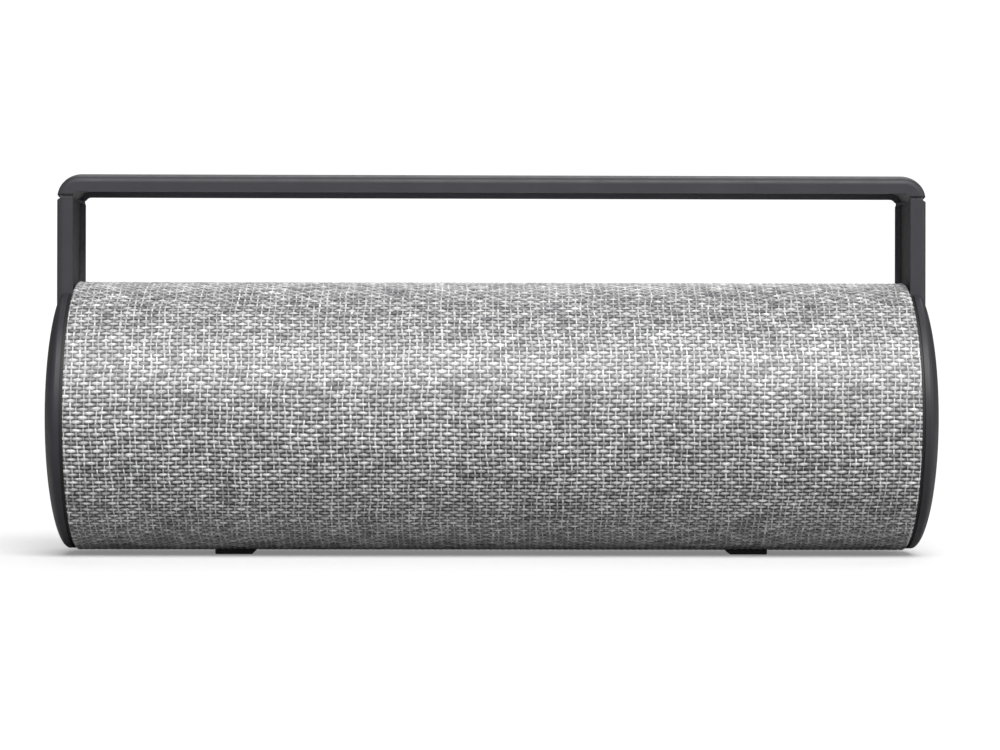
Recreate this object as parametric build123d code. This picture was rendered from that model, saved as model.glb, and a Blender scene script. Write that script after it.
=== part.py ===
from build123d import *
import math
import os

# Portable cloth-wrapped speaker: a horizontal cylinder with domed end caps, a fixed strap
# handle over the top and two rubber feet.
# X runs along the cylinder, -Y is the listening side, +Z is up.  Millimetres.
# The shapes are drawn about the cylinder's own axis (z = 0) and lifted on to the floor
# when they are saved, so the origin is on the floor under the middle of the body.

os.makedirs("parts", exist_ok=True)

# ------------------------------------------------------------------ driving dimensions
LENGTH = 392.8              # tip to tip over the domed caps
CLOTH_R = 59.5              # outside of the grille cloth
CLOTH_T = 0.7
BODY_HALF = 184.0           # half length of the cloth and of the shell below it
FOOT_DROP = 1.9             # the feet stand this far below the cloth
AXIS_Z = CLOTH_R + FOOT_DROP

SHELL_R = CLOTH_R - CLOTH_T - 0.1
SHELL_T = 1.8
CORE_R = 56.4               # outside of the sealed enclosure
CORE_T = 3.0
CORE_HALF = 160.0

CAP_X = 185.4               # where the cap starts, beyond the trim ring
CAP_CENTRE_X = 187.4        # centre of the elliptical dome
CAP_R = 59.0
CAP_T = 2.2

STRAP_W = 46.8              # handle strap, front to back
STRAP_T = 8.9               # crown to inner lips
STRAP_CROWN = 2.4           # rise of the crowned outside
STRAP_X = 193.1             # crown of the legs
STRAP_Z = 107.5             # crown of the bar above the axis
CORNER_R = 11.4             # outer corners of the handle, along the crown
EDGE_R = 3.0                # crowned face to the sides
COVER_T = 1.5
COVER_SIDE_T = 1.9
RECESS = 2.3                # the inner strap lies this far behind the lips
SPLIT_Z = 95.6              # top end of the leg covers
SPLIT_GAP = 1.5
GAP_DEPTH = 1.1             # the inner strap fills the gap up to this depth
END_RELIEF = 0.45           # step round the covers' ends at the gap
LEG_END_Z = 34.0            # the leg covers end inside the caps
TANG_T = 3.4
TANG_HALF_W = 12.0
TANG_END_Z = -20.0

FRAME_T = 5.0               # end frame disc, its outer face at BODY_HALF
FRAME_R = 56.6

BAFFLE_Y = -36.0            # front face of the baffle
BAFFLE_T = 4.0
GASKET_T = 1.0
BAFFLE_HALF_Z = 42.9
LEDGE_HALF_Z = 38.0

DRIVER_X = 105.0
DRIVER_R = 40.0
FLANGE_T = 2.5
TWEETER_X = 42.0
TWEETER_R = 19.0

FOOT_X = 114.0
FOOT_LENGTH = 17.4
FOOT_DEPTH = 16.0

PANEL_HALF = (45.0, 16.0)   # rear panel, half length and half height
PANEL_CORNER_R = 5.0
RECESS_HALF_X = 36.0
RECESS_LOW = -10.8
RECESS_HIGH = 10.0
RECESS_R = 56.8             # floor of the port recess
FLAP_R = 59.4
FLAP_T = 2.2
HINGE_Z = -8.6
HINGE_BARREL_R = 1.1
HINGE_PIN_R = 0.5
JACK_FACE_Y = 56.2
AUX_X, USB_X, POWER_X = -22.0, 0.0, 22.0
AUX_BORE_R = 1.8
AUX_BORE_DEPTH = 14.0

BUTTON_RING_R = 17.0
MAIN_BUTTON_R = 8.0
SIDE_BUTTON_R = 5.5
BUTTON_GAP = 0.3
BUTTON_BACK_X = 192.3
BUTTON_FLANGE_X = 193.3
LIGHT_BACK_X = 191.7
LIGHT_FLANGE_X = 192.8
CONTROL_BOARD_X = 188.7
CONTROL_BOARD_T = 1.0
SWITCH_H = 1.2

CLEAR = 0.1                 # screw shanks stand this far off their holes
WINDOW_CLEAR = 0.3


# ------------------------------------------------------------------ helpers
def rod_x(radius, x0, x1, y=0.0, z=0.0):
    return Pos((x0 + x1) / 2, y, z) * Rot(0, 90, 0) * Cylinder(radius, abs(x1 - x0))


def rod_y(radius, y0, y1, x=0.0, z=0.0):
    return Pos(x, (y0 + y1) / 2, z) * Rot(90, 0, 0) * Cylinder(radius, abs(y1 - y0))


def rod_z(radius, z0, z1, x=0.0, y=0.0):
    return Pos(x, y, (z0 + z1) / 2) * Cylinder(radius, abs(z1 - z0))


def block(x0, x1, y0, y1, z0, z1):
    centre = Pos((x0 + x1) / 2, (y0 + y1) / 2, (z0 + z1) / 2)
    return centre * Box(abs(x1 - x0), abs(y1 - y0), abs(z1 - z0))


def tube_x(outer, inner, x0, x1):
    return rod_x(outer, x0, x1) - rod_x(inner, x0 - 1, x1 + 1)


def chord(radius, offset):
    """Half chord of a circle at a distance from its centre."""
    return math.sqrt(radius ** 2 - offset ** 2)


def polar(radius, degrees):
    """Point in the YZ plane, the angle measured from +Y towards +Z."""
    return radius * math.cos(math.radians(degrees)), radius * math.sin(math.radians(degrees))


def rounded_block_y(half_x, z0, z1, corner, y0, y1):
    """Block along Y whose XZ outline has rounded corners."""
    outline = RectangleRounded(2 * half_x, z1 - z0, corner)
    face = Plane(origin=(0, y1, (z0 + z1) / 2), x_dir=(1, 0, 0), z_dir=(0, -1, 0)) * outline
    return extrude(face, amount=y1 - y0)


def group(shapes):
    """Separate solids kept together in one sub-part."""
    return Compound([solid for shape in shapes for solid in shape.solids()])


def both_sides(solid):
    return {"right": solid, "left": mirror(solid, Plane.YZ)}


def save(name, shape):
    export_step(Pos(0, 0, AXIS_Z) * shape, f"parts/{name}.step")


def save_pair(name, solid):
    for side, shape in both_sides(solid).items():
        save(f"{side}_{name}", shape)


# ------------------------------------------------------------------ the wrapped cylinder
def rear_window(radius_in, radius_out):
    """The opening through the cloth and its shell for the rear panel."""
    half_x, half_z = PANEL_HALF
    return rounded_block_y(
        half_x + WINDOW_CLEAR,
        -half_z - WINDOW_CLEAR,
        half_z + WINDOW_CLEAR,
        PANEL_CORNER_R + WINDOW_CLEAR,
        radius_in - 8,
        radius_out + 2,
    )


def foot_holes(radius):
    return [rod_z(radius, -CLOTH_R - 2, -CORE_R + 5, sign * FOOT_X) for sign in (-1, 1)]


FOOT_SPIGOT_R = 4.0


def grille_cloth():
    cloth = tube_x(CLOTH_R, CLOTH_R - CLOTH_T, -BODY_HALF, BODY_HALF)
    cloth -= rear_window(CORE_R, CLOTH_R)
    for hole in foot_holes(FOOT_SPIGOT_R + CLEAR):
        cloth -= hole
    return cloth


def grille_shell():
    shell = tube_x(SHELL_R, SHELL_R - SHELL_T, -BODY_HALF, BODY_HALF)
    shell -= rear_window(CORE_R, CLOTH_R)
    for hole in foot_holes(FOOT_SPIGOT_R + CLEAR):
        shell -= hole
    # Rows of slots in front of the drivers let the sound out.
    slot_length, slot_height, slot_pitch_x, slot_pitch_z = 20.0, 5.0, 25.0, 9.0
    slots = []
    for column in range(-6, 7):
        for row in range(-4, 5):
            x = column * slot_pitch_x
            z = row * slot_pitch_z
            slots.append(block(x - slot_length / 2, x + slot_length / 2, -CLOTH_R, -30,
                               z - slot_height / 2, z + slot_height / 2))
    # The bass port breathes through a ring of holes behind it.
    for row in range(-2, 3):
        z = row * 7.0
        slots.append(block(-PORT_X - 13, -PORT_X + 13, 45, CLOTH_R, z - 2, z + 2))
    return shell - slots


# ------------------------------------------------------------------ enclosure
PORT_X = 110.0
PORT_R = 14.0
PORT_WALL = 1.6
PORT_INNER_Y = 18.0
FRAME_SCREW_AT = [polar(46, angle) for angle in (-20, 100, 250)]
BAFFLE_SCREW_AT = [(sx * x, sz * 40.2) for x in (20, 75, 135) for sx in (-1, 1) for sz in (-1, 1)]
DRIVER_SCREW_AT = [polar(36.5, angle) for angle in (45, 135, 225, 315)]
PANEL_SCREW_AT = [(sx * 41.6, sz * 11.0) for sx in (-1, 1) for sz in (-1, 1)]
M3_R = 1.5
M4_R = 2.0


def front_baffle():
    y1 = BAFFLE_Y + BAFFLE_T
    plate = block(-CORE_HALF, CORE_HALF, BAFFLE_Y, y1, -BAFFLE_HALF_Z, BAFFLE_HALF_Z)
    cuts = []
    for sign in (-1, 1):
        cuts.append(rod_y(34.3, BAFFLE_Y - 1, y1 + 1, sign * DRIVER_X))
        cuts.append(rod_y(14.3, BAFFLE_Y - 1, y1 + 1, sign * TWEETER_X))
        for dx, dz in DRIVER_SCREW_AT:
            cuts.append(rod_y(M3_R, BAFFLE_Y - 1, y1 + 1, sign * DRIVER_X + dx, dz))
    for x, z in BAFFLE_SCREW_AT:
        cuts.append(rod_y(M3_R, BAFFLE_Y - 1, y1 + 1, x, z))
    return plate - cuts


def enclosure_gasket():
    y0 = BAFFLE_Y + BAFFLE_T
    y1 = y0 + GASKET_T
    ring = block(-CORE_HALF, CORE_HALF, y0, y1, -BAFFLE_HALF_Z, BAFFLE_HALF_Z)
    ring -= block(-151, 151, y0 - 1, y1 + 1, -LEDGE_HALF_Z, LEDGE_HALF_Z)
    return ring - [rod_y(M3_R, y0 - 1, y1 + 1, x, z) for x, z in BAFFLE_SCREW_AT]


def enclosure_tub():
    front_y = BAFFLE_Y + BAFFLE_T + GASKET_T
    ledge_y = front_y + 8.0
    inner_half = CORE_HALF - CORE_T
    tub = rod_x(CORE_R, -CORE_HALF, CORE_HALF)
    tub -= block(-CORE_HALF - 1, CORE_HALF + 1, -CORE_R - 1, front_y, -CORE_R, CORE_R)
    cavity = rod_x(CORE_R - CORE_T, -inner_half, inner_half)
    cavity -= block(-CORE_HALF, CORE_HALF, -CORE_R, ledge_y, -CORE_R, CORE_R)
    tub -= cavity
    tub -= block(-150, 150, front_y - 1, ledge_y + 1, -LEDGE_HALF_Z, LEDGE_HALF_Z)
    for y, z in FRAME_SCREW_AT:
        for x0, x1 in ((-inner_half - 1, -145), (145, inner_half + 1)):
            tub += rod_x(4.5, x0, x1, y, z)
    cuts = []
    for y, z in FRAME_SCREW_AT:
        cuts.append(rod_x(M4_R, -CORE_HALF - 1, -147, y, z))
        cuts.append(rod_x(M4_R, 147, CORE_HALF + 1, y, z))
    for x, z in BAFFLE_SCREW_AT:
        cuts.append(rod_y(M3_R, front_y - 1, front_y + 7, x, z))
    for x, z in PANEL_SCREW_AT:
        cuts.append(rod_y(M3_R, 45, CORE_R + 1, x, z))
    # openings for the port block and the bass port
    cuts.append(block(-38.3, 38.3, 40, CORE_R + 1, -12.3, 12.3))
    cuts.append(rod_y(PORT_R + PORT_WALL + CLEAR, 40, CORE_R + 1, -PORT_X))
    for sign in (-1, 1):
        cuts.append(rod_z(M3_R, -CORE_R - 1, -CORE_R + 5, sign * FOOT_X))
    tub -= cuts
    return tub


def bass_port():
    outer = rod_y(PORT_R + PORT_WALL, PORT_INNER_Y, CORE_R, -PORT_X)
    flange = rod_y(PORT_R + PORT_WALL + 3, 45, 50, -PORT_X)
    flange &= rod_x(CORE_R - CORE_T - 0.05, -PORT_X - 30, -PORT_X + 30)
    port = (outer & rod_x(CORE_R, -PORT_X - 30, -PORT_X + 30)) + flange
    return port - rod_y(PORT_R, PORT_INNER_Y - 1, CORE_R + 1, -PORT_X)


# ------------------------------------------------------------------ ends
CAP_BOSS_AT = [polar(44, angle) for angle in (25, 155, 270)]
CAP_BOSS_END_X = 192.5      # inside the dome's wall
TANG_SCREW_Z = (16.0, -11.0)
BOARD_POST_AT = [(-20.0, -8.0), (20.0, -8.0), (0.0, -24.0)]


def dome(x_base, semi_x, radius):
    """Half of an ellipsoid on a short round band, standing on x_base."""
    tip = CAP_CENTRE_X + semi_x
    edges = [
        Line((x_base, 0), (x_base, radius)),
        Line((x_base, radius), (CAP_CENTRE_X, radius)),
        EllipticalCenterArc((CAP_CENTRE_X, 0), semi_x, radius, start_angle=0, arc_size=90),
        Line((tip, 0), (x_base, 0)),
    ]
    return revolve(make_face(edges), Axis.X)


def cap_outside():
    return dome(CAP_X, LENGTH / 2 - CAP_CENTRE_X, CAP_R)


def cap_shell():
    """The domed wall, turned from one closed profile."""
    outer_x = LENGTH / 2 - CAP_CENTRE_X
    inner_x = outer_x - CAP_T
    inner_r = CAP_R - CAP_T
    edges = [
        Line((CAP_X, inner_r), (CAP_X, CAP_R)),
        Line((CAP_X, CAP_R), (CAP_CENTRE_X, CAP_R)),
        EllipticalCenterArc((CAP_CENTRE_X, 0), outer_x, CAP_R, start_angle=0, arc_size=90),
        Line((CAP_CENTRE_X + outer_x, 0), (CAP_CENTRE_X + inner_x, 0)),
        EllipticalCenterArc((CAP_CENTRE_X, 0), inner_x, inner_r, start_angle=0, arc_size=90),
        Line((CAP_CENTRE_X, inner_r), (CAP_X, inner_r)),
    ]
    return revolve(make_face(edges), Axis.X)


def strap_outline(margin=0.0):
    """Cross-section of the handle: local x is front to back, local y is depth from the crown."""
    half = STRAP_W / 2 + margin
    edges = [
        ThreePointArc((-half, STRAP_CROWN - margin), (0, -margin), (half, STRAP_CROWN - margin)),
        Line((half, STRAP_CROWN - margin), (half, STRAP_T + margin)),
        Line((half, STRAP_T + margin), (-half, STRAP_T + margin)),
        Line((-half, STRAP_T + margin), (-half, STRAP_CROWN - margin)),
    ]
    face = make_face(edges)
    crown_edges = face.vertices().sort_by(Axis.Y)[:2]
    return fillet(crown_edges, radius=EDGE_R)


def leg_plane(z):
    """Section plane across the right leg at a height, depth running towards -X."""
    return Plane(origin=(STRAP_X, 0, z), x_dir=(0, 1, 0), z_dir=(0, 0, 1))


def leg_slot():
    """The passage for the right leg, with running room all round."""
    return extrude(leg_plane(LEG_END_Z) * strap_outline(WINDOW_CLEAR), amount=50)


def end_cap():
    cap = cap_shell()
    for y, z in CAP_BOSS_AT:
        cap += rod_x(4.2, BODY_HALF, CAP_BOSS_END_X, y, z)
    for y, z in CAP_BOSS_AT:
        cap -= rod_x(M3_R, BODY_HALF - 1, BODY_HALF + 7, y, z)
    return cap - leg_slot()


def trim_ring():
    return tube_x(58.3, 55.2, BODY_HALF, CAP_X) - leg_slot()


def end_frame(board_posts):
    frame = rod_x(FRAME_R, BODY_HALF - FRAME_T, BODY_HALF)
    frame += tube_x(FRAME_R, CORE_R - CORE_T, CORE_HALF, BODY_HALF - FRAME_T)
    for y, z in FRAME_SCREW_AT:
        frame += rod_x(4.0, CORE_HALF, BODY_HALF - FRAME_T + 1, y, z)
    if board_posts:
        for y, z in BOARD_POST_AT:
            frame += rod_x(2.6, BODY_HALF - 1, CONTROL_BOARD_X, y, z)
    cuts = [rod_x(5, BODY_HALF - FRAME_T - 1, BODY_HALF + 1, 28, -26)]
    for y, z in FRAME_SCREW_AT:
        cuts.append(rod_x(M4_R, CORE_HALF - 1, BODY_HALF + 1, y, z))
        cuts.append(rod_x(4.0, BODY_HALF - 2.5, BODY_HALF + 1, y, z))
    for y, z in CAP_BOSS_AT:
        cuts.append(rod_x(M3_R, BODY_HALF - FRAME_T - 1, BODY_HALF + 1, y, z))
    for z in TANG_SCREW_Z:
        cuts.append(rod_x(M4_R, BODY_HALF - FRAME_T - 1, BODY_HALF + 1, 0, z))
    if board_posts:
        for y, z in BOARD_POST_AT:
            cuts.append(rod_x(1.1, CONTROL_BOARD_X - 5, CONTROL_BOARD_X + 1, y, z))
    return frame - cuts


# ------------------------------------------------------------------ handle
def strap_run(section, low_z):
    """A section carried up the right leg, round the corners and down the left leg."""
    bend_x = STRAP_X - CORNER_R
    bend_z = STRAP_Z - CORNER_R
    leg = extrude(leg_plane(low_z) * section, amount=bend_z - low_z)
    corner_axis = Axis((bend_x, 0, bend_z), (0, -1, 0))
    corner = revolve(leg_plane(bend_z) * section, corner_axis, 90)
    right = leg + corner
    bar_plane = Plane(origin=(bend_x, 0, STRAP_Z), x_dir=(0, 1, 0), z_dir=(-1, 0, 0))
    bar = extrude(bar_plane * section, amount=2 * bend_x)
    return right + bar + mirror(right, Plane.YZ)


def section_between(half, d0, d1):
    """Part of the strap's section: crowned on its outer side when it starts near the crown."""
    full_half = STRAP_W / 2
    rise = STRAP_CROWN * (half / full_half) ** 2
    edges = [
        ThreePointArc((-half, d0 + rise), (0, d0), (half, d0 + rise)),
        Line((half, d0 + rise), (half, d1)),
        Line((half, d1), (-half, d1)),
        Line((-half, d1), (-half, d0 + rise)),
    ]
    return make_face(edges)


def cover_run():
    """The outer cover along the whole handle: a channel, open towards the inside."""
    inner_half = STRAP_W / 2 - COVER_SIDE_T
    return strap_run(strap_outline() - section_between(inner_half, COVER_T, STRAP_T + 1), LEG_END_Z)


def end_relief():
    """What comes off the covers' ends at the gap: a shallow step round the outside."""
    low = SPLIT_Z - END_RELIEF
    kept = strap_outline(-END_RELIEF) + section_between(STRAP_W / 2 - END_RELIEF, 5, STRAP_T + 1)
    ring = block(150, 220, -40, 40, low, SPLIT_Z + SPLIT_GAP + END_RELIEF)
    ring -= extrude(leg_plane(low - 1) * kept, amount=SPLIT_GAP + 4)
    return ring + mirror(ring, Plane.YZ)


def gap_filler():
    """The part of the inner strap that shows in the gap and closes it behind the lips."""
    inner_half = STRAP_W / 2 - COVER_SIDE_T
    section = section_between(STRAP_W / 2 - GAP_DEPTH, GAP_DEPTH, STRAP_T - 0.2)
    section -= section_between(inner_half, STRAP_T - RECESS, STRAP_T + 1)
    filler = extrude(leg_plane(SPLIT_Z + 0.05) * section, amount=SPLIT_GAP - 0.1)
    return filler + mirror(filler, Plane.YZ)


def handle_frame():
    half = STRAP_W / 2 - COVER_SIDE_T - CLEAR
    section = section_between(half, COVER_T + CLEAR, STRAP_T - RECESS)
    frame = strap_run(section, LEG_END_Z - 4) + gap_filler()
    tang_x = BODY_HALF + TANG_T
    for x0, x1 in ((BODY_HALF, tang_x), (-tang_x, -BODY_HALF)):
        frame += block(x0, x1, -TANG_HALF_W, TANG_HALF_W, TANG_END_Z, LEG_END_Z)
    for sign in (-1, 1):
        for z in TANG_SCREW_Z:
            frame -= rod_x(M4_R + CLEAR, sign * (BODY_HALF - 1), sign * (tang_x + 1), 0, z)
    return frame


# ------------------------------------------------------------------ feet
def foot(sign):
    x = sign * FOOT_X
    low = -AXIS_Z
    pad = block(x - FOOT_LENGTH / 2, x + FOOT_LENGTH / 2, -FOOT_DEPTH / 2, FOOT_DEPTH / 2,
                low, -CLOTH_R + 2)
    pad = chamfer(pad.faces().sort_by(Axis.Z)[0].edges(), 0.4)
    toe = Plane(origin=(x - sign * FOOT_LENGTH / 2, 0, low), x_dir=(1, 0, 0), z_dir=(0, -1, 0))
    pad -= extrude(toe * Rot(0, 0, 45) * Rectangle(1.6, 1.6), amount=FOOT_DEPTH, both=True)
    pad -= rod_x(CLOTH_R, x - 20, x + 20)
    pad += rod_z(FOOT_SPIGOT_R, -CLOTH_R - 0.5, -CORE_R, x) - rod_x(CORE_R, x - 20, x + 20)
    pad -= rod_z(M3_R, low - 1, -CORE_R + 1, x)
    pad -= rod_z(3.2, low - 1, low + 1.8, x)
    return pad


def foot_screws():
    screws = []
    for sign in (-1, 1):
        x = sign * FOOT_X
        head = rod_z(2.9, -AXIS_Z + 0.5, -AXIS_Z + 1.8, x)
        shank = rod_z(M3_R - CLEAR, -AXIS_Z + 1.8, -CORE_R + 2.8, x)
        cross = block(x - 1.6, x + 1.6, -0.35, 0.35, -AXIS_Z, -AXIS_Z + 1.1)
        other = block(x - 0.35, x + 0.35, -1.6, 1.6, -AXIS_Z, -AXIS_Z + 1.1)
        screws.append(head + shank - cross - other)
    return group(screws)


# ------------------------------------------------------------------ screws
def screw_x(x_head, direction, length, y, z, radius, head_radius, head_height):
    """Pan-head screw along X: the head stands on x_head and the shank runs along direction."""
    head = rod_x(head_radius, x_head - direction * head_height, x_head, y, z)
    shank = rod_x(radius - CLEAR, x_head, x_head + direction * length, y, z)
    socket = rod_x(radius * 0.6, x_head - direction * head_height,
                   x_head - direction * head_height * 0.4, y, z)
    return head + shank - socket


def screw_y(y_head, direction, length, x, z, radius, head_radius, head_height):
    """Pan-head screw along Y."""
    head = rod_y(head_radius, y_head - direction * head_height, y_head, x, z)
    shank = rod_y(radius - CLEAR, y_head, y_head + direction * length, x, z)
    socket = rod_y(radius * 0.6, y_head - direction * head_height,
                   y_head - direction * head_height * 0.4, x, z)
    return head + shank - socket


def handle_screws():
    head_x = BODY_HALF + TANG_T
    return group([
        screw_x(head_x, -1, TANG_T + FRAME_T - 0.5, 0, z, M4_R, 3.6, 1.2) for z in TANG_SCREW_Z
    ])


def cap_screws():
    head_x = BODY_HALF - FRAME_T
    return group([
        screw_x(head_x, 1, FRAME_T + 6, y, z, M3_R, 2.8, 1.8) for y, z in CAP_BOSS_AT
    ])


def frame_screws():
    head_x = BODY_HALF - 2.5
    return group([
        screw_x(head_x, -1, head_x - 148, y, z, M4_R, 3.6, 2.2) for y, z in FRAME_SCREW_AT
    ])


def baffle_screws():
    return group([
        screw_y(BAFFLE_Y, 1, 6.5, x, z, M3_R, 2.2, 1.6) for x, z in BAFFLE_SCREW_AT
    ])


def driver_screws():
    head_y = BAFFLE_Y - FLANGE_T
    return group([
        screw_y(head_y, 1, 6, sign * DRIVER_X + dx, dz, M3_R, 2.4, 1.5)
        for sign in (-1, 1) for dx, dz in DRIVER_SCREW_AT
    ])


# ------------------------------------------------------------------ drivers
def revolve_y(points, x):
    """Solid of revolution about a line along Y, from (radius, y) points."""
    face = make_face(Polyline(*[(r, y) for r, y in points], close=True))
    return Pos(x, 0, 0) * revolve(face, Axis.Y)


def driver_frame():
    front = BAFFLE_Y - FLANGE_T
    profile = [(33, front), (DRIVER_R, front), (DRIVER_R, BAFFLE_Y), (34.0, BAFFLE_Y),
               (22.5, -11.9), (22.5, -10), (14.8, -10), (14.8, -12), (20.8, -12), (32.2, -35.2),
               (33, -35.2)]
    frame = revolve_y(profile, DRIVER_X)
    window = block(-8, 8, -29, -16, 0, 60)
    for k in range(6):
        frame -= Pos(DRIVER_X, 0, 0) * Rot(0, 60 * k + 30, 0) * window
    for dx, dz in DRIVER_SCREW_AT:
        frame -= rod_y(M3_R, front - 1, BAFFLE_Y + 1, DRIVER_X + dx, dz)
    return frame


def driver_magnet():
    profile = [(0, -9.5), (12.2, -9.5), (12.2, 4), (14.8, 4), (14.8, -10), (21, -10), (21, 7), (0, 7)]
    return revolve_y(profile, DRIVER_X)


def driver_cone():
    profile = [(13.0, -18), (27.6, -33.4), (27.6, -34.6), (26.9, -34.6), (13.9, -20.9),
               (9.0, -22.8), (0, -23.6), (0, -22.6), (8.8, -21.8), (13.0, -20)]
    cone = revolve_y(profile, DRIVER_X)
    former = revolve_y([(13.0, -19.5), (13.8, -19.5), (13.8, -1), (13.0, -1)], DRIVER_X)
    return cone + former


def driver_surround():
    """Half-round rubber roll between the cone's edge and the frame."""
    middle = 30.3
    outer_roll = Pos(middle, -35.6) * Circle(2.7)
    inner_roll = Pos(middle, -35.6) * Circle(2.1)
    front_half = Pos(middle, -35.6 - 5) * Rectangle(12, 10)
    face = (outer_roll - inner_roll) & front_half
    return Pos(DRIVER_X, 0, 0) * revolve(face, Axis.Y)


def tweeter():
    front = BAFFLE_Y - FLANGE_T
    profile = [(9.5, front), (TWEETER_R, front), (TWEETER_R, BAFFLE_Y), (14, BAFFLE_Y), (14, -20),
               (0, -20), (0, -37.6), (4.5, -37.0), (7.8, -34.6), (8.6, -36.2), (9.5, -36.2)]
    return revolve_y(profile, TWEETER_X)


# ------------------------------------------------------------------ rear panel and ports
def rear_panel():
    half_x, half_z = PANEL_HALF
    plate = rounded_block_y(half_x, -half_z, half_z, PANEL_CORNER_R, 40, CLOTH_R)
    plate &= tube_x(CLOTH_R, CORE_R, -60, 60)
    carrier = block(-38, 38, 53, CORE_R + 1, -12, 12) & rod_x(CORE_R + 0.5, -60, 60)
    panel = plate + carrier
    recess = block(-RECESS_HALF_X, RECESS_HALF_X, 50, CLOTH_R + 2, RECESS_LOW, RECESS_HIGH)
    panel -= recess - rod_x(RECESS_R, -60, 60)
    cuts = [rod_x(HINGE_PIN_R, -40, 40, hinge_y(), HINGE_Z)]
    cuts.append(rod_y(3.6, 50, 60, AUX_X, 0))
    cuts.append(rod_y(4.6, 50, 60, POWER_X, 0))
    cuts.append(block(USB_X - 5.1, USB_X + 5.1, 50, 60, -2.3, 2.3))
    for x, z in PANEL_SCREW_AT:
        cuts.append(rod_y(M3_R, 50, 62, x, z))
        cuts.append(rod_y(3.0, 57.2, 62, x, z))
    return panel - cuts


def hinge_y():
    outer = chord(FLAP_R, HINGE_Z)
    inner = chord(FLAP_R - FLAP_T, HINGE_Z)
    return (outer + inner) / 2


def panel_screws():
    return group([
        screw_y(57.2, -1, 6, x, z, M3_R, 2.7, 1.1) for x, z in PANEL_SCREW_AT
    ])


def port_cover():
    half_x = RECESS_HALF_X - 0.35
    skin = tube_x(FLAP_R, FLAP_R - FLAP_T, -half_x, half_x)
    flap = skin & rounded_block_y(half_x, HINGE_Z - 12, RECESS_HIGH - 0.3, 2.5, 50, 62)
    flap -= block(-50, 50, 0, 70, -40, HINGE_Z)
    flap += rod_x(HINGE_BARREL_R, -half_x, half_x, hinge_y(), HINGE_Z)
    # finger notch along the top edge
    flap -= rod_y(1.6, 58.4, 62, 0, RECESS_HIGH - 2.4)
    return flap - rod_x(HINGE_PIN_R + 0.05, -half_x - 1, half_x + 1, hinge_y(), HINGE_Z)


def port_hinge_pin():
    return rod_x(HINGE_PIN_R, -39.5, 39.5, hinge_y(), HINGE_Z)


def aux_jack():
    back = JACK_FACE_Y - AUX_BORE_DEPTH - 2
    jack = rod_y(3.5, 50, JACK_FACE_Y, AUX_X) + block(AUX_X - 4, AUX_X + 4, back, 52.9, -4, 4)
    return jack - rod_y(AUX_BORE_R, JACK_FACE_Y - AUX_BORE_DEPTH, JACK_FACE_Y + 1, AUX_X)


def power_jack():
    jack = rod_y(4.5, 50, JACK_FACE_Y, POWER_X)
    jack += block(POWER_X - 5.5, POWER_X + 5.5, 42, 52.9, -5.5, 5.5)
    jack -= rod_y(2.75, JACK_FACE_Y - 9.5, JACK_FACE_Y + 1, POWER_X)
    return jack + rod_y(1.0, JACK_FACE_Y - 10, JACK_FACE_Y - 1, POWER_X)


def usb_port():
    shell = RectangleRounded(9.6, 4.0, 1.6) - RectangleRounded(8.4, 2.8, 1.2)
    at = Plane(origin=(USB_X, JACK_FACE_Y, 0), x_dir=(1, 0, 0), z_dir=(0, -1, 0))
    port = extrude(at * shell, amount=8)
    port += block(USB_X - 6, USB_X + 6, 46, JACK_FACE_Y - 7, -3.4, 3.4)
    return port + block(USB_X - 3.3, USB_X + 3.3, JACK_FACE_Y - 8, JACK_FACE_Y - 1, -0.35, 0.35)


# ------------------------------------------------------------------ inside the enclosure
CELL_R = 9.2
CELL_LENGTH = 65.0
CELL_Z = -28.0
CELL_AT = [(sx * 34.0, y) for sx in (-1, 1) for y in (0.0, 20.0)]


def battery_cells():
    return group([
        rod_x(CELL_R, x - CELL_LENGTH / 2, x + CELL_LENGTH / 2, y, CELL_Z) for x, y in CELL_AT
    ])


def battery_cradle():
    reach = 34.0 + CELL_LENGTH / 2 + 2
    floor_z = -chord(CORE_R - CORE_T, 30.5) - 0.1
    cradle = block(-reach, reach, -11, 31, CELL_Z - 11, CELL_Z)
    cradle += block(-reach + 8, reach - 8, -6, 26, floor_z, CELL_Z - 10)
    for y in (0.0, 20.0):
        cradle -= rod_x(CELL_R + CLEAR, -reach + 1.8, reach - 1.8, y, CELL_Z)
    return cradle


def main_board():
    board = block(-62, 62, -2, 40, 26, 27.6)
    for x in (-57, 57):
        for y in (3, 35):
            board -= rod_z(1.4, 25, 29, x, y)
    return board


def board_components():
    parts = [
        block(-50, -22, 4, 30, 27.6, 33.6),
        block(20, 34, 6, 20, 27.6, 29.2),
        rod_z(5, 27.6, 37, 46, 8),
        rod_z(5, 27.6, 37, 46, 22),
        block(-14, 10, 8, 24, 27.6, 30.0),
    ]
    return group(parts)


def board_posts():
    """Four pillars between the main board and the top of the enclosure."""
    roof = CORE_R - CORE_T
    posts = []
    for x in (-57, 57):
        for y in (3, 35):
            posts.append(rod_z(3, 27.6, chord(roof, abs(y) + 3) - 0.2, x, y)
                         + rod_z(1.3, 24.4, 28, x, y) + rod_z(2.6, 24.6, 26, x, y))
    return group(posts)


# ------------------------------------------------------------------ controls on the right cap
BUTTONS = {
    "play_button": (0.0, 0.0, MAIN_BUTTON_R),
    "volume_up_button": (0.0, BUTTON_RING_R, SIDE_BUTTON_R),
    "volume_down_button": (0.0, -BUTTON_RING_R, SIDE_BUTTON_R),
    "power_button": (-BUTTON_RING_R, 0.0, SIDE_BUTTON_R),
    "pairing_button": (BUTTON_RING_R, 0.0, SIDE_BUTTON_R),
}
LIGHT_AT = [(y, -30.0) for y in (-7.5, -2.5, 2.5, 7.5)]


def dome_x(radius):
    """X of the dome's outside at a distance from the axis."""
    semi_x = LENGTH / 2 - CAP_CENTRE_X
    return CAP_CENTRE_X + semi_x * math.sqrt(1 - (radius / CAP_R) ** 2)


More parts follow.
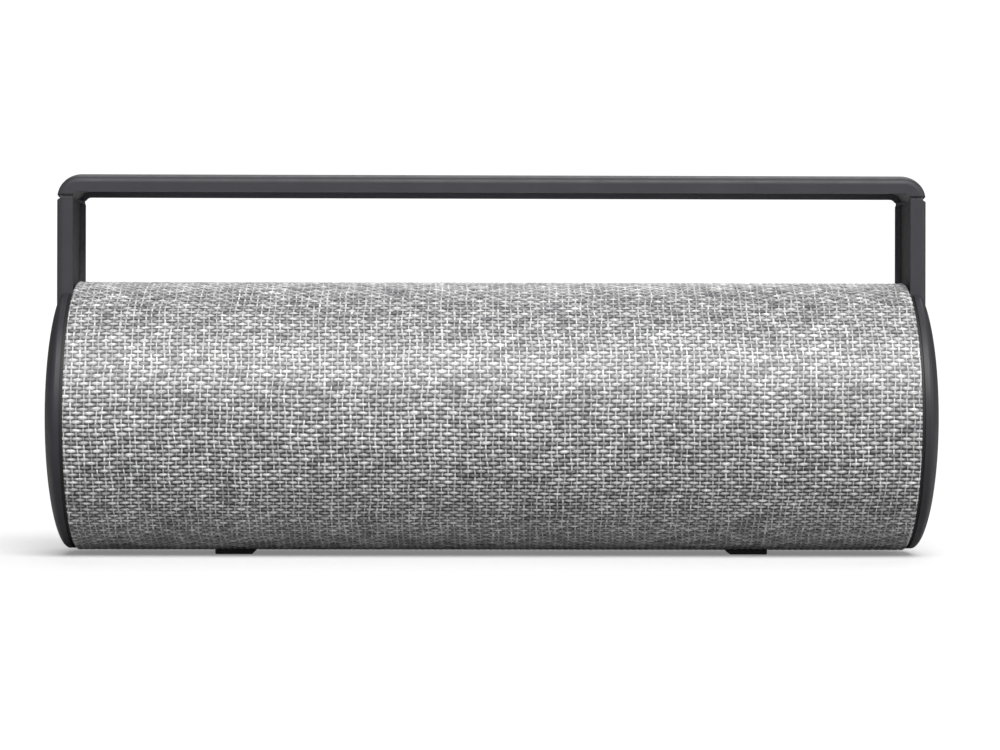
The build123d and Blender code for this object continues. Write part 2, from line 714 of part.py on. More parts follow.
def centre_key(radius):
    """Key over the tip of the dome, its face part of the sphere that fits the dome there."""
    rise = LENGTH / 2 - dome_x(radius)
    sphere_r = (radius ** 2 + rise ** 2) / (2 * rise)
    ball = Pos(LENGTH / 2 - sphere_r, 0, 0) * Sphere(sphere_r)
    return rod_x(radius, BUTTON_BACK_X, LENGTH / 2 + 1) & ball


def button(y, z, radius):
    """Cap that follows the dome, with a flange behind the cap's wall and a short stem."""
    if y == 0 and z == 0:
        key = centre_key(radius)
    else:
        key = rod_x(radius, BUTTON_BACK_X, LENGTH / 2 + 1, y, z) & cap_outside()
    flange = rod_x(radius + 1.2, BUTTON_BACK_X, BUTTON_FLANGE_X, y, z)
    stem = rod_x(1.6, BUTTON_BACK_X - 0.7, BUTTON_BACK_X + 0.5, y, z)
    return key + flange + stem


def right_end_cap():
    cap = end_cap()
    cuts = [rod_x(r + BUTTON_GAP, 190, 202, y, z) for y, z, r in BUTTONS.values()]
    cuts += [rod_x(1.0 + CLEAR, 190, 202, y, z) for y, z in LIGHT_AT]
    return cap - cuts


def status_lights():
    return group([
        (rod_x(1.0, LIGHT_BACK_X, 202, y, z) & cap_outside())
        + rod_x(1.7, LIGHT_BACK_X, LIGHT_FLANGE_X, y, z)
        for y, z in LIGHT_AT
    ])


def control_board():
    board = rod_x(27.0, CONTROL_BOARD_X, CONTROL_BOARD_X + CONTROL_BOARD_T)
    board += block(CONTROL_BOARD_X, CONTROL_BOARD_X + CONTROL_BOARD_T, -12, 12, -34, -20)
    return board - [rod_x(1.1, CONTROL_BOARD_X - 1, 195, y, z) for y, z in BOARD_POST_AT]


def tact_switches():
    base_x = CONTROL_BOARD_X + CONTROL_BOARD_T
    switches = []
    for y, z, radius in BUTTONS.values():
        body = block(base_x, base_x + 0.9, y - 3, y + 3, z - 3, z + 3)
        switches.append(body + rod_x(1.5, base_x + 0.9, base_x + SWITCH_H, y, z))
    return group(switches)


def control_board_screws():
    head_x = CONTROL_BOARD_X + CONTROL_BOARD_T
    return group([
        screw_x(head_x, -1, 5.5, y, z, 1.1, 2.0, 1.2) for y, z in BOARD_POST_AT
    ])


# ------------------------------------------------------------------ write the sub-parts
save("grille_cloth", grille_cloth())
save("grille_shell", grille_shell())
save("front_baffle", front_baffle())
save("enclosure_gasket", enclosure_gasket())
save("enclosure_tub", enclosure_tub())
save("bass_port", bass_port())

save("right_end_frame", end_frame(board_posts=True))
save("left_end_frame", mirror(end_frame(board_posts=False), Plane.YZ))
save("right_end_cap", right_end_cap())
save("left_end_cap", mirror(end_cap(), Plane.YZ))
save_pair("trim_ring", trim_ring())

cover = cover_run() - end_relief()
gap_top = SPLIT_Z + SPLIT_GAP
save("handle_frame", handle_frame())
save("handle_grip", cover - block(-220, 220, -40, 40, 0, gap_top))
save_pair("handle_cover", cover & block(100, 220, -40, 40, 0, SPLIT_Z))

save_pair("handle_screws", handle_screws())
save_pair("cap_screws", cap_screws())
save_pair("frame_screws", frame_screws())
save("baffle_screws", baffle_screws())
save("driver_screws", driver_screws())

save("right_foot", foot(1))
save("left_foot", foot(-1))
save("foot_screws", foot_screws())

save_pair("driver_frame", driver_frame())
save_pair("driver_magnet", driver_magnet())
save_pair("driver_cone", driver_cone())
save_pair("driver_surround", driver_surround())
save_pair("tweeter", tweeter())

save("rear_panel", rear_panel())
save("panel_screws", panel_screws())
save("port_cover", port_cover())
save("port_hinge_pin", port_hinge_pin())
save("aux_jack", aux_jack())
save("power_jack", power_jack())
save("usb_port", usb_port())

save("battery_cells", battery_cells())
save("battery_cradle", battery_cradle())
save("main_board", main_board())
save("board_components", board_components())
save("board_posts", board_posts())

save("control_board", control_board())
save("tact_switches", tact_switches())
save("control_board_screws", control_board_screws())
save("status_lights", status_lights())
for name, (y, z, radius) in BUTTONS.items():
    save(name, button(y, z, radius))
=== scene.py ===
import bpy
import math
import numpy as np
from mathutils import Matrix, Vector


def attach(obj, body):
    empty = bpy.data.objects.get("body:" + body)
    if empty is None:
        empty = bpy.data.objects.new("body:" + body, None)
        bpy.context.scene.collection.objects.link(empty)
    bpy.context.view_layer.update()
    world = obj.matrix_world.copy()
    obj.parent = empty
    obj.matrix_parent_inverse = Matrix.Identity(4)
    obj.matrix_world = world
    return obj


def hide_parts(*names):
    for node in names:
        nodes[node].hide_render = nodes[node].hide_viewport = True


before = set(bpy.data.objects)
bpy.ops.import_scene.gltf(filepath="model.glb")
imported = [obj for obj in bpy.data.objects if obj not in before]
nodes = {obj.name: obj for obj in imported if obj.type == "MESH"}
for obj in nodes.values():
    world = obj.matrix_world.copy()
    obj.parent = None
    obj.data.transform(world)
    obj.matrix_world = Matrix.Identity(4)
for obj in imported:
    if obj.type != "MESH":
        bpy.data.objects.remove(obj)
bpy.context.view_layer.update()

MM = 0.001
AXIS_Z = 61.4  # height of the cylinder's axis above the floor
CLOTH_R = 59.2  # radius at the middle of the weave
CLOTH_HALF = 184.0
WARP_PITCH = 2.775  # between upright yarns, along the cylinder
WEFT_ROWS = 204  # yarns lying along the cylinder, counted round it
WARP_HALF = 0.135  # half a yarn's width, in pitches
WEFT_HALF = 0.41
CRIMP = 0.24  # how far a yarn rises and dips as it crosses the others, in mm
WEFT_LIFT = 0.42  # how far a yarn's rounded back stands over its middle, in mm
WARP_LIFT = 0.44
GAP_DEPTH = -0.3  # floor of the gaps between yarns, against the middle of the weave, in mm
RELIEF_SHARE = 0.8  # part of the relief that is in the mesh
HEM_R = 0.7  # the cloth's two edges roll inwards over this radius, in mm
WINDOW_HALF = (45.2, 16.2)  # opening for the rear panel, half length and half height
WINDOW_CORNER = 5.2
LIP_PAINTED_LIGHT_GAIN = 2.2  # painted light: how much paler the inner faces of the handle's lips are made than its outside, to stand in for light in their shade
FLOOR_GLOW = 0.21
FLOOR_EXTRA = 0.27  # the floor is this much paler for the camera than for light that bounces off it
FILL_LIGHT = 0.08  # even light from all round

# Slow sine waves that make the weave uneven. Each one is (size, rate by the first count, rate by
# the second count, phase), and both the mesh and the material add them up.
SWAY_ALONG = ((0.10, 0.0, 0.23, 0.8), (0.06, 0.07, 0.61, 0.0))  # by yarns along, yarns round
SWAY_ROUND = ((0.10, 0.17, 0.0, 0.0), (0.07, 0.53, 0.05, 0.0))
WEFT_STRAY = ((0.05, 0.43, 3.7, 0.0), (0.04, 1.31, 1.3, 0.0))  # by yarns along, row
WARP_STRAY = ((0.09, 0.21, 2.9, 0.0), (0.06, 0.57, 5.7, 0.0))  # by yarns round, column
WEFT_SWELL = ((0.10, 0.31, 2.4, 0.0), (0.10, 1.13, 5.1, 0.0))
WARP_SWELL = ((0.20, 0.27, 1.9, 0.0), (0.20, 0.71, 4.3, 0.0))


# ---------------------------------------------------------------- node helpers
class Nodes:
    """A material's node tree, with a short call for each kind of node it needs."""

    def __init__(self, name):
        self.material = bpy.data.materials.new(name)
        self.material.use_nodes = True
        self.tree = self.material.node_tree
        self.tree.nodes.clear()
        self.out = self.tree.nodes.new("ShaderNodeOutputMaterial")

    def add(self, kind, **settings):
        node = self.tree.nodes.new(kind)
        for key, value in settings.items():
            setattr(node, key, value)
        return node

    def put(self, socket, value):
        if isinstance(value, bpy.types.NodeSocket):
            self.tree.links.new(value, socket)
        else:
            socket.default_value = value

    def math(self, operation, first, second=0.0, third=0.0):
        node = self.add("ShaderNodeMath", operation=operation)
        for socket, value in zip(node.inputs, (first, second, third)):
            self.put(socket, value)
        return node.outputs[0]

    def place(self, scale=(1.0, 1.0, 1.0)):
        coordinates = self.add("ShaderNodeTexCoord")
        mapping = self.add("ShaderNodeMapping")
        self.put(mapping.inputs["Vector"], coordinates.outputs["Object"])
        mapping.inputs["Scale"].default_value = scale
        return mapping.outputs["Vector"]

    def noise(self, vector, scale, detail=3.0, rough=0.55):
        node = self.add("ShaderNodeTexNoise")
        self.put(node.inputs["Vector"], vector)
        node.inputs["Scale"].default_value = scale
        node.inputs["Detail"].default_value = detail
        node.inputs["Roughness"].default_value = rough
        return node.outputs["Fac"]

    def ramp(self, value, stops):
        node = self.add("ShaderNodeValToRGB")
        self.put(node.inputs["Fac"], value)
        elements = node.color_ramp.elements
        while len(elements) < len(stops):
            elements.new(0.5)
        for element, (position, colour) in zip(elements, stops):
            element.position = position
            element.color = (*colour, 1.0)
        return node.outputs["Color"]

    def spread(self, value, low, high, to_low, to_high):
        node = self.add("ShaderNodeMapRange")
        for key, number in (("Value", value), ("From Min", low), ("From Max", high),
                            ("To Min", to_low), ("To Max", to_high)):
            self.put(node.inputs[key], number)
        return node.outputs["Result"]

    def bump(self, height, strength, distance):
        node = self.add("ShaderNodeBump")
        node.inputs["Strength"].default_value = strength
        node.inputs["Distance"].default_value = distance
        self.put(node.inputs["Height"], height)
        return node.outputs["Normal"]

    def axes(self, vector):
        node = self.add("ShaderNodeSeparateXYZ")
        self.put(node.inputs[0], vector)
        return node.outputs["X"], node.outputs["Y"], node.outputs["Z"]

    def vector(self, x, y, z):
        node = self.add("ShaderNodeCombineXYZ")
        for socket, value in zip(node.inputs, (x, y, z)):
            self.put(socket, value)
        return node.outputs[0]

    def scaled(self, colour, factor):
        node = self.add("ShaderNodeVectorMath", operation="SCALE")
        self.put(node.inputs[0], colour)
        self.put(node.inputs["Scale"], factor)
        return node.outputs[0]

    def waves(self, terms, first, second):
        """The sum of some of the slow sine waves, as the function waves has it for the mesh."""
        total = 0.0
        for size, by_first, by_second, phase in terms:
            inside = self.math("MULTIPLY_ADD", second, by_second, phase)
            inside = self.math("MULTIPLY_ADD", first, by_first, inside)
            total = self.math("MULTIPLY_ADD", self.math("SINE", inside), size, total)
        return total

    def surface(self, **inputs):
        shader = self.add("ShaderNodeBsdfPrincipled")
        for key, value in inputs.items():
            self.put(shader.inputs[key.replace("_", " ")], value)
        self.tree.links.new(shader.outputs[0], self.out.inputs["Surface"])
        return self.material


def shade(colour, factor):
    return tuple(min(1.0, c * factor) for c in colour)


def moulded(name, colour, rough, grain=3200, depth=0.00004, specular=0.5, coat=0.0, painted_lip_light_half=0.0):
    """Moulded plastic or rubber: a fine grain in relief, faint cloudy wear in tone and sheen.

    The lip light half width, in mm, is how far from the middle the inner faces of a channel's lips are
    painted paler, as painted light in their own shade.
    """
    n = Nodes(name)
    here = n.place()
    cloud = n.noise(here, 55, 4)
    fine = n.noise(here, grain, 2, 0.6)
    tint = n.ramp(cloud, [(0.25, shade(colour, 0.88)), (0.75, shade(colour, 1.12))])
    sheen = n.spread(n.noise(here, 140, 3), 0.25, 0.75, rough - 0.05, rough + 0.07)
    # painted light: faces that face across, inside the lips, are made paler to stand in for light in the
    # lips' shade
    if painted_lip_light_half:
        across = n.math("ABSOLUTE", n.axes(here)[1])
        facing = n.math("ABSOLUTE", n.axes(n.add("ShaderNodeTexCoord").outputs["Normal"])[1])
        inside = n.math("MULTIPLY", n.math("LESS_THAN", across, painted_lip_light_half * MM),
                        n.math("GREATER_THAN", facing, 0.8))
        tint = n.scaled(tint, n.math("MULTIPLY_ADD", inside, LIP_PAINTED_LIGHT_GAIN, 1.0))
    return n.surface(Base_Color=tint, Roughness=sheen, Normal=n.bump(fine, 0.6, depth),
                     Specular_IOR_Level=specular, Coat_Weight=coat, Coat_Roughness=0.25)


def metal(name, colour, rough, metallic=1.0):
    """Metal with a fine brushed or plated grain."""
    n = Nodes(name)
    lines = n.noise(n.place((1, 60, 1)), 900, 3, 0.6)
    stain = n.noise(n.place(), 120, 3)
    tint = n.ramp(stain, [(0.3, shade(colour, 0.82)), (0.7, shade(colour, 1.12))])
    sheen = n.spread(lines, 0.3, 0.7, rough - 0.06, rough + 0.1)
    return n.surface(Base_Color=tint, Roughness=sheen, Metallic=metallic,
                     Normal=n.bump(lines, 0.5, 0.00002))


def pulp(name, colour):
    """Pressed paper pulp of a driver's cone."""
    n = Nodes(name)
    here = n.place()
    fibre = n.noise(here, 900, 5, 0.7)
    tint = n.ramp(fibre, [(0.3, shade(colour, 0.7)), (0.7, shade(colour, 1.4))])
    return n.surface(Base_Color=tint, Roughness=n.spread(fibre, 0.3, 0.7, 0.75, 0.95),
                     Normal=n.bump(fibre, 0.7, 0.00012))


def foam(name, colour):
    """Closed-cell foam."""
    n = Nodes(name)
    voronoi = n.add("ShaderNodeTexVoronoi")
    n.put(voronoi.inputs["Vector"], n.place())
    voronoi.inputs["Scale"].default_value = 1400
    cells = voronoi.outputs["Distance"]
    tint = n.ramp(cells, [(0.0, shade(colour, 0.5)), (0.7, shade(colour, 1.3))])
    return n.surface(Base_Color=tint, Roughness=n.spread(cells, 0, 0.8, 0.8, 0.97),
                     Normal=n.bump(cells, 0.6, 0.0001))


def circuit_board(name, colour):
    """Green solder mask over copper tracks."""
    n = Nodes(name)
    tracks = n.add("ShaderNodeTexBrick")
    n.put(tracks.inputs["Vector"], n.place((260, 260, 260)))
    tracks.inputs["Color1"].default_value = (*shade(colour, 0.85), 1)
    tracks.inputs["Color2"].default_value = (*shade(colour, 1.2), 1)
    tracks.inputs["Mortar"].default_value = (*shade(colour, 1.9), 1)
    tracks.inputs["Mortar Size"].default_value = 0.03
    haze = n.noise(n.place(), 300, 3)
    return n.surface(Base_Color=tracks.outputs["Color"],
                     Roughness=n.spread(haze, 0.3, 0.7, 0.25, 0.4),
                     Normal=n.bump(tracks.outputs["Fac"], 0.4, 0.00003))


# ---------------------------------------------------------------- woven cloth
def waves(terms, first, second):
    return sum(size * np.sin(by_first * first + by_second * second + phase)
               for size, by_first, by_second, phase in terms)


def weave_height(along, around):
    """Height of the cloth in mm over its middle, at a place counted in yarns along and round."""
    row = np.round(around)
    column = np.round(along)
    weft_half = WEFT_HALF * (1 + waves(WEFT_SWELL, along, row))
    warp_half = WARP_HALF * (1 + waves(WARP_SWELL, around, column))
    weft_off = (around - row - waves(WEFT_STRAY, along, row)) / weft_half
    warp_off = (along - column - waves(WARP_STRAY, around, column)) / warp_half
    weft_back = WEFT_LIFT * np.sqrt(np.clip(1 - weft_off ** 2, 0, 1))
    warp_back = WARP_LIFT * np.sqrt(np.clip(1 - warp_off ** 2, 0, 1))
    weft = weft_back + CRIMP * np.cos(math.pi * (along + row))
    warp = warp_back - CRIMP * np.cos(math.pi * (around + column))
    weft = np.where(np.abs(weft_off) < 1, weft, GAP_DEPTH)
    warp = np.where(np.abs(warp_off) < 1, warp, GAP_DEPTH)
    return np.maximum(weft, warp)


def woven_material(name):
    """Mottled grey yarn in a plain weave, with the same yarns as the relief of weave_height."""
    n = Nodes(name)
    x, y, z = n.axes(n.add("ShaderNodeTexCoord").outputs["Object"])
    up = n.math("SUBTRACT", z, AXIS_Z * MM)
    p = n.math("DIVIDE", x, WARP_PITCH * MM)
    q = n.math("MULTIPLY", n.math("ARCTAN2", y, up), WEFT_ROWS / math.tau)
    along = n.math("ADD", p, n.waves(SWAY_ALONG, p, q))
    around = n.math("ADD", q, n.waves(SWAY_ROUND, p, q))
    row = n.math("ROUND", around)
    column = n.math("ROUND", along)

    def one_yarn(off, half, swell, lift, crimp, phase):
        """Height of one set of yarns, which drops to the gap's floor beside each yarn."""
        share = n.math("DIVIDE", off, n.math("MULTIPLY_ADD", swell, half, half))
        inside = n.math("SUBTRACT", 1.0, n.math("MULTIPLY", share, share))
        back = n.math("MULTIPLY", n.math("SQRT", n.math("MAXIMUM", inside, 0.0)), lift)
        wave = n.math("COSINE", n.math("MULTIPLY", phase, math.pi))
        rise = n.math("MULTIPLY_ADD", wave, crimp, back)
        above_gap = n.math("SUBTRACT", rise, GAP_DEPTH)
        return n.math("MULTIPLY_ADD", above_gap, n.math("GREATER_THAN", inside, 0.0), GAP_DEPTH)

    from_row = n.math("SUBTRACT", around, row)
    from_column = n.math("SUBTRACT", along, column)
    weft = one_yarn(n.math("SUBTRACT", from_row, n.waves(WEFT_STRAY, along, row)), WEFT_HALF,
                    n.waves(WEFT_SWELL, along, row), WEFT_LIFT, CRIMP, n.math("ADD", along, row))
    warp = one_yarn(n.math("SUBTRACT", from_column, n.waves(WARP_STRAY, around, column)), WARP_HALF,
                    n.waves(WARP_SWELL, around, column), WARP_LIFT, -CRIMP, n.math("ADD", around, column))
    height = n.math("MAXIMUM", weft, warp)
    warp_on_top = n.math("GREATER_THAN", warp, weft)

    def yarn(major, minor, seed):
        """Random tone of one float of yarn."""
        white = n.add("ShaderNodeTexWhiteNoise", noise_dimensions="3D")
        n.put(white.inputs["Vector"], n.vector(major, minor, seed))
        return white.outputs["Value"]

    def lengthwise(major, index, pitch, step, seed):
        """Tone that drifts along one yarn, as slubs and mixed fibre do."""
        place = n.vector(n.math("MULTIPLY", major, pitch), n.math("MULTIPLY", index, step), seed)
        return n.noise(place, 1.0, 2.0, 0.6)

    over_weft = n.math("SUBTRACT", along, row)
    over_warp = n.math("SUBTRACT", n.math("SUBTRACT", around, column), 1.0)
    weft_float = n.math("ROUND", n.math("MULTIPLY", over_weft, 0.5))
    warp_float = n.math("ROUND", n.math("MULTIPLY", over_warp, 0.5))
    weft_tone = n.math("MULTIPLY_ADD", yarn(weft_float, row, 0.3), 0.42,
                       n.math("MULTIPLY", lengthwise(along, row, 0.13, 7.31, 1.7), 0.66))
    warp_tone = n.math("MULTIPLY_ADD", yarn(warp_float, column, 5.3), 0.42,
                       n.math("MULTIPLY", lengthwise(around, column, 0.10, 6.17, 9.1), 0.75))
    weft_colour = n.ramp(weft_tone, [(0.26, (0.20, 0.199, 0.207)), (0.48, (0.43, 0.428, 0.432)),
                                     (0.72, (0.60, 0.598, 0.598)), (0.90, (0.84, 0.838, 0.832))])
    warp_colour = n.ramp(warp_tone, [(0.32, (0.24, 0.239, 0.246)), (0.58, (0.45, 0.448, 0.45)),
                                     (0.82, (0.74, 0.738, 0.734)), (0.94, (0.86, 0.858, 0.852))])
    pick = n.add("ShaderNodeMix", data_type="RGBA")
    n.put(pick.inputs["Factor"], warp_on_top)
    n.put(pick.inputs[6], weft_colour)
    n.put(pick.inputs[7], warp_colour)

    fibre_weft = n.noise(n.place((900, 2600, 2600)), 1.0, 3.0, 0.75)
    fibre_warp = n.noise(n.place((2600, 1100, 1100)), 1.0, 3.0, 0.75)
    fibre = n.add("ShaderNodeMix", data_type="FLOAT")
    n.put(fibre.inputs["Factor"], warp_on_top)
    n.put(fibre.inputs[2], fibre_weft)
    n.put(fibre.inputs[3], fibre_warp)
    patches = n.noise(n.place(), 75, 3.0)
    # darker down the sides of each yarn and darkest in the gaps: partly the black shell seen through the
    # gaps, partly painted shade in the hollows of the weave
    depth = n.spread(height, 0.05, 0.54, 0.06, 1.0)
    tone_and_hollow_shade = n.math("MULTIPLY", depth, n.spread(fibre.outputs[0], 0.32, 0.68, 0.48, 1.52))
    tone_and_hollow_shade = n.math("MULTIPLY", tone_and_hollow_shade, n.spread(patches, 0.3, 0.7, 0.86, 1.14))
    relief = n.math("MULTIPLY_ADD", fibre.outputs[0], 0.16, height)
    outward = n.add("ShaderNodeVectorMath", operation="NORMALIZE")
    n.put(outward.inputs[0], n.vector(0.0, y, up))
    return n.surface(Base_Color=n.scaled(pick.outputs[2], tone_and_hollow_shade),
                     Roughness=n.spread(fibre.outputs[0], 0.3, 0.7, 0.62, 0.8),
                     Normal=n.bump(relief, 0.6, 0.0006), Specular_IOR_Level=0.3,
                     Coat_Weight=1.0, Coat_Roughness=0.45, Coat_Normal=outward.outputs[0])


def grid_faces(length, width):
    """Four-cornered faces of a grid whose points are numbered along its width first."""
    index = np.arange(length * width).reshape(length, width)
    corners = [index[:-1, :-1], index[1:, :-1], index[1:, 1:], index[:-1, 1:]]
    return np.stack(corners, -1).reshape(-1, 4)


def woven_cloth():
    """The cloth as one open sheet stretched round the cylinder, its two hems rolled inwards."""
    half = (CLOTH_HALF - HEM_R) / WARP_PITCH
    in_column = np.array([-0.42, -0.21, -0.13, 0.0, 0.13, 0.21])
    in_row = np.array([0.0, 0.24, 0.5, 0.76])
    columns = (np.arange(-67, 68)[:, None] + in_column).ravel()
    columns = np.concatenate([[-half], columns[np.abs(columns) < half - 0.03], [half]])
    hem = np.radians([22.0, 45.0, 68.0, 90.0])
    ends = half + HEM_R / WARP_PITCH * np.sin(hem)
    inward = HEM_R * (1 - np.cos(hem))
    drop = np.concatenate([inward[::-1], np.zeros(len(columns)), inward])
    rows = (np.arange(-WEFT_ROWS // 2, WEFT_ROWS // 2)[:, None] + in_row).ravel()
    along, around = np.meshgrid(np.concatenate([-ends[::-1], columns, ends]),
                                np.append(rows, WEFT_ROWS / 2), indexing="ij")

    # the mesh's lines follow the yarns where these stray, so that each ridge has its own line
    column, row = np.round(along), np.round(around)
    inner = np.abs(along) < half - 1
    along = along + inner * waves(WARP_STRAY, around, column) * (1 - 2 * np.abs(along - column))
    around = around + inner * waves(WEFT_STRAY, along, row) * (1 - 2 * np.abs(around - row))
    around[:, [0, -1]] = [-WEFT_ROWS / 2, WEFT_ROWS / 2]

    from_edge = np.clip((half - np.abs(along)) / 3, 0, 1)
    from_seam = np.clip((WEFT_ROWS / 2 - np.abs(around)) / 3, 0, 1)
    x = (along - waves(SWAY_ALONG, along, around) * from_edge) * WARP_PITCH
    turn = (around - waves(SWAY_ROUND, along, around) * from_seam) * math.tau / WEFT_ROWS
    radius = CLOTH_R + weave_height(along, around) * RELIEF_SHARE - drop[:, None]
    points = np.stack([x, radius * np.sin(turn), AXIS_Z + radius * np.cos(turn)], -1).reshape(-1, 3)
    quads = grid_faces(*x.shape)

    # the opening for the rear panel
    middle = points[quads].mean(1) - (0, 0, AXIS_Z)
    over = np.maximum(np.abs(middle[:, [0, 2]]) - np.array(WINDOW_HALF) + WINDOW_CORNER, 0)
    quads = quads[(np.hypot(over[:, 0], over[:, 1]) > WINDOW_CORNER) | (middle[:, 1] < 0)]
    used, quads = np.unique(quads, return_inverse=True)
    return points[used], quads.reshape(-1, 4), x.ravel()[used], turn.ravel()[used]


def mesh_object(name, points, faces):
    """A mesh from points in mm and faces that all have the same number of corners."""
    points = np.asarray(points, np.float32) * MM
    faces = np.asarray(faces, np.int32)
    mesh = bpy.data.meshes.new(name)
    mesh.vertices.add(len(points))
    mesh.vertices.foreach_set("co", points.ravel())
    mesh.loops.add(faces.size)
    mesh.loops.foreach_set("vertex_index", faces.ravel())
    mesh.polygons.add(len(faces))
    starts = np.arange(0, faces.size, faces.shape[1], dtype=np.int32)
    mesh.polygons.foreach_set("loop_start", starts)
    mesh.polygons.foreach_set("use_smooth", np.full(len(faces), True))
    mesh.update(calc_edges=True)
    mesh.validate()
    made = bpy.data.objects.new(name, mesh)
    bpy.context.scene.collection.objects.link(made)
    return made


points, quads, along, turn = woven_cloth()
cloth = mesh_object("woven_cloth", points, quads)
unwrap = cloth.data.uv_layers.new(name="OFBake")
corner = np.zeros(len(cloth.data.loops), np.int32)
cloth.data.loops.foreach_get("vertex_index", corner)
flat_u = 0.01 + 0.98 * (along[corner] / (2 * CLOTH_HALF) + 0.5)
flat_v = 0.01 + 0.98 * (turn[corner] / math.tau + 0.5)
unwrap.data.foreach_set("uv", np.stack([flat_u, flat_v], -1).astype(np.float32).ravel())
cloth.data.materials.append(woven_material("grille_cloth"))
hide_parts("grille_cloth")
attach(cloth, "body")

# ---------------------------------------------------------------- finishes
CHARCOAL = (0.024, 0.0233, 0.0285)
FINISHES = {
    "cap_plastic": (moulded("cap_plastic", CHARCOAL, 0.5, specular=0.38), [
        "left_end_cap", "right_end_cap"]),
    # the cover's inner lip faces get painted light: a paler colour where they lie in shade
    "strap_cover": (moulded("strap_cover", (0.031, 0.030, 0.036), 0.5, specular=0.36, painted_lip_light_half=21.6), [
        "handle_grip", "left_handle_cover", "right_handle_cover"]),
    # the inner strap is paler than the cover: partly its own plastic, partly painted light for the shade
    # it lies in between the lips
    "inner_strap": (moulded("inner_strap", (0.042, 0.0415, 0.047), 0.55), ["handle_frame"]),
    "trim_black": (moulded("trim_black", (0.008, 0.008, 0.009), 0.6), [
        "left_trim_ring", "right_trim_ring", "bass_port"]),
    "black_abs": (moulded("black_abs", (0.014, 0.014, 0.015), 0.5, grain=1800), [
        "grille_shell", "front_baffle", "enclosure_tub", "left_end_frame", "right_end_frame",
        "battery_cradle", "board_posts"]),
    "foot_rubber": (moulded("foot_rubber", (0.013, 0.013, 0.014), 0.72, grain=2200, depth=0.00008), [
        "left_foot", "right_foot"]),
    "foam_rubber": (foam("foam_rubber", (0.022, 0.022, 0.023)), ["enclosure_gasket"]),
    "surround_rubber": (moulded("surround_rubber", (0.016, 0.016, 0.017), 0.42, grain=1500), [
        "left_driver_surround", "right_driver_surround"]),
    "flap_rubber": (moulded("flap_rubber", (0.032, 0.032, 0.035), 0.66, grain=2600), ["port_cover"]),
    "button_rubber": (moulded("button_rubber", (0.040, 0.040, 0.044), 0.6, grain=2800), [
        "play_button", "volume_up_button", "volume_down_button", "power_button", "pairing_button"]),
    "zinc_steel": (metal("zinc_steel", (0.30, 0.30, 0.31), 0.34), [
        "left_handle_screws", "right_handle_screws", "left_cap_screws", "right_cap_screws",
        "left_frame_screws", "right_frame_screws", "baffle_screws", "driver_screws", "foot_screws",
        "panel_screws", "control_board_screws", "port_hinge_pin"]),
    "driver_steel": (metal("driver_steel", (0.05, 0.05, 0.055), 0.45, metallic=0.0), [
        "left_driver_frame", "right_driver_frame", "left_driver_magnet", "right_driver_magnet"]),
    "cone_paper": (pulp("cone_paper", (0.045, 0.045, 0.048)), [
        "left_driver_cone", "right_driver_cone"]),
    "tweeter_plastic": (moulded("tweeter_plastic", (0.022, 0.022, 0.024), 0.3, coat=0.3), [
        "left_tweeter", "right_tweeter"]),
    "panel_plastic": (moulded("panel_plastic", (0.027, 0.0265, 0.030), 0.5, grain=2600), [
        "rear_panel"]),
    "jack_plastic": (moulded("jack_plastic", (0.016, 0.016, 0.016), 0.33), [
        "aux_jack", "power_jack"]),
    "port_metal": (metal("port_metal", (0.60, 0.60, 0.61), 0.28), ["usb_port"]),
    "cell_wrap": (moulded("cell_wrap", (0.06, 0.19, 0.40), 0.28, grain=900, coat=0.4), [
        "battery_cells"]),
    "board_green": (circuit_board("board_green", (0.02, 0.12, 0.06)), [
        "main_board", "control_board"]),
    "chip_black": (moulded("chip_black", (0.02, 0.02, 0.02), 0.5, grain=1500), [
        "board_components", "tact_switches"]),
    "light_lens": (moulded("light_lens", (0.62, 0.64, 0.66), 0.25, grain=900, coat=0.5), [
        "status_lights"]),
}
for slot_name, (finish, members) in FINISHES.items():
    for member in members:
        nodes[member].data.materials.clear()
        nodes[member].data.materials.append(finish)


# ---------------------------------------------------------------- floor, light and camera
def floor_material():
    """Pale matt floor, whiter for the camera alone, so that it looks as white as the backdrop."""
    n = Nodes("studio_floor")
    matt = n.add("ShaderNodeBsdfDiffuse")
    seen = n.add("ShaderNodeLightPath").outputs["Is Camera Ray"]
    cloudy = n.spread(n.noise(n.place(), 3, 2), 0.3, 0.7, 0.34, 0.36)
    n.put(matt.inputs["Color"], n.math("MULTIPLY_ADD", seen, FLOOR_EXTRA, cloudy))
    glow = n.add("ShaderNodeEmission")
    n.put(glow.inputs["Strength"], n.math("MULTIPLY", seen, FLOOR_GLOW))
    both = n.add("ShaderNodeAddShader")
    n.put(both.inputs[0], matt.outputs[0])
    n.put(both.inputs[1], glow.outputs[0])
    n.tree.links.new(both.outputs[0], n.out.inputs["Surface"])
    return n.material


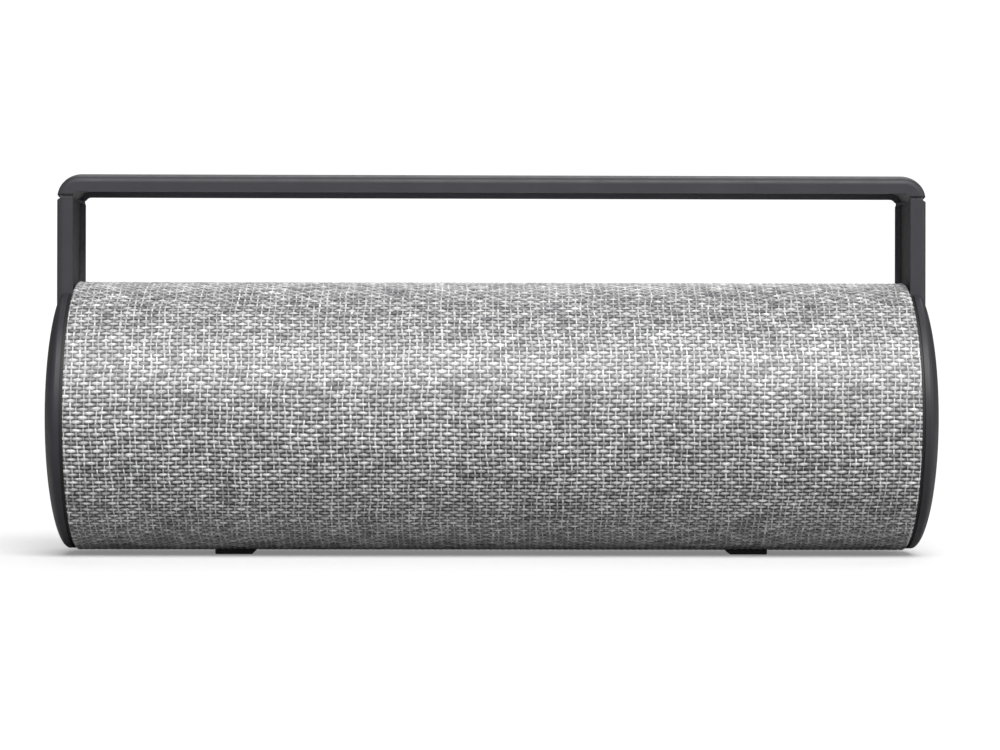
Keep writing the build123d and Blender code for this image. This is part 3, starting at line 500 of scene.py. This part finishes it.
side = np.linspace(-20000, 20000, 9)
floor_x, floor_y = np.meshgrid(side, side, indexing="ij")
floor_points = np.stack([floor_x, floor_y, np.zeros_like(floor_x)], -1).reshape(-1, 3)
floor = mesh_object("studio_floor", floor_points, grid_faces(*floor_x.shape))
floor.data.materials.append(floor_material())

world = bpy.data.worlds.new("studio")
world.use_nodes = True
sky = world.node_tree
backdrop = sky.nodes["Background"]
path = sky.nodes.new("ShaderNodeLightPath")
level = sky.nodes.new("ShaderNodeMath")
level.operation = "ADD"
level.inputs[1].default_value = FILL_LIGHT
sky.links.new(path.outputs["Is Camera Ray"], level.inputs[0])
sky.links.new(level.outputs[0], backdrop.inputs["Strength"])
backdrop.inputs["Color"].default_value = (1, 1, 1, 1)
bpy.context.scene.world = world
bpy.context.scene.view_settings.view_transform = "Standard"


def soft_light(name, azimuth, elevation, spread, strength):
    """Even soft light from one side: azimuth from the front towards the right end, in degrees."""
    lamp = bpy.data.lights.new(name, "SUN")
    lamp.angle = math.radians(spread)
    lamp.energy = strength
    made = bpy.data.objects.new(name, lamp)
    bpy.context.scene.collection.objects.link(made)
    turn, rise = math.radians(azimuth), math.radians(elevation)
    level_part = math.cos(rise)
    towards = Vector((math.sin(turn) * level_part, -math.cos(turn) * level_part, math.sin(rise)))
    made.rotation_euler = towards.to_track_quat("Z", "Y").to_euler()


soft_light("key", 10, 46, 40, 3.9)
soft_light("front_right", 28, 5, 40, 0.42)
soft_light("front_left", -28, 5, 40, 0.18)
soft_light("back", 170, 50, 50, 1.15)
soft_light("right_side", 78, 16, 40, 0.9)
soft_light("left_side", -76, 16, 40, 0.4)

camera = bpy.data.cameras.new("camera")
camera.sensor_width = 36.0
camera.lens = 106.0
camera_object = bpy.data.objects.new("camera", camera)
camera_object.location = (-16.4 * MM, -1317.5 * MM, 77.8 * MM)
camera_object.rotation_euler = (math.pi / 2 + 0.0015, -0.0018, -0.0153)
bpy.context.scene.collection.objects.link(camera_object)
bpy.context.scene.camera = camera_object
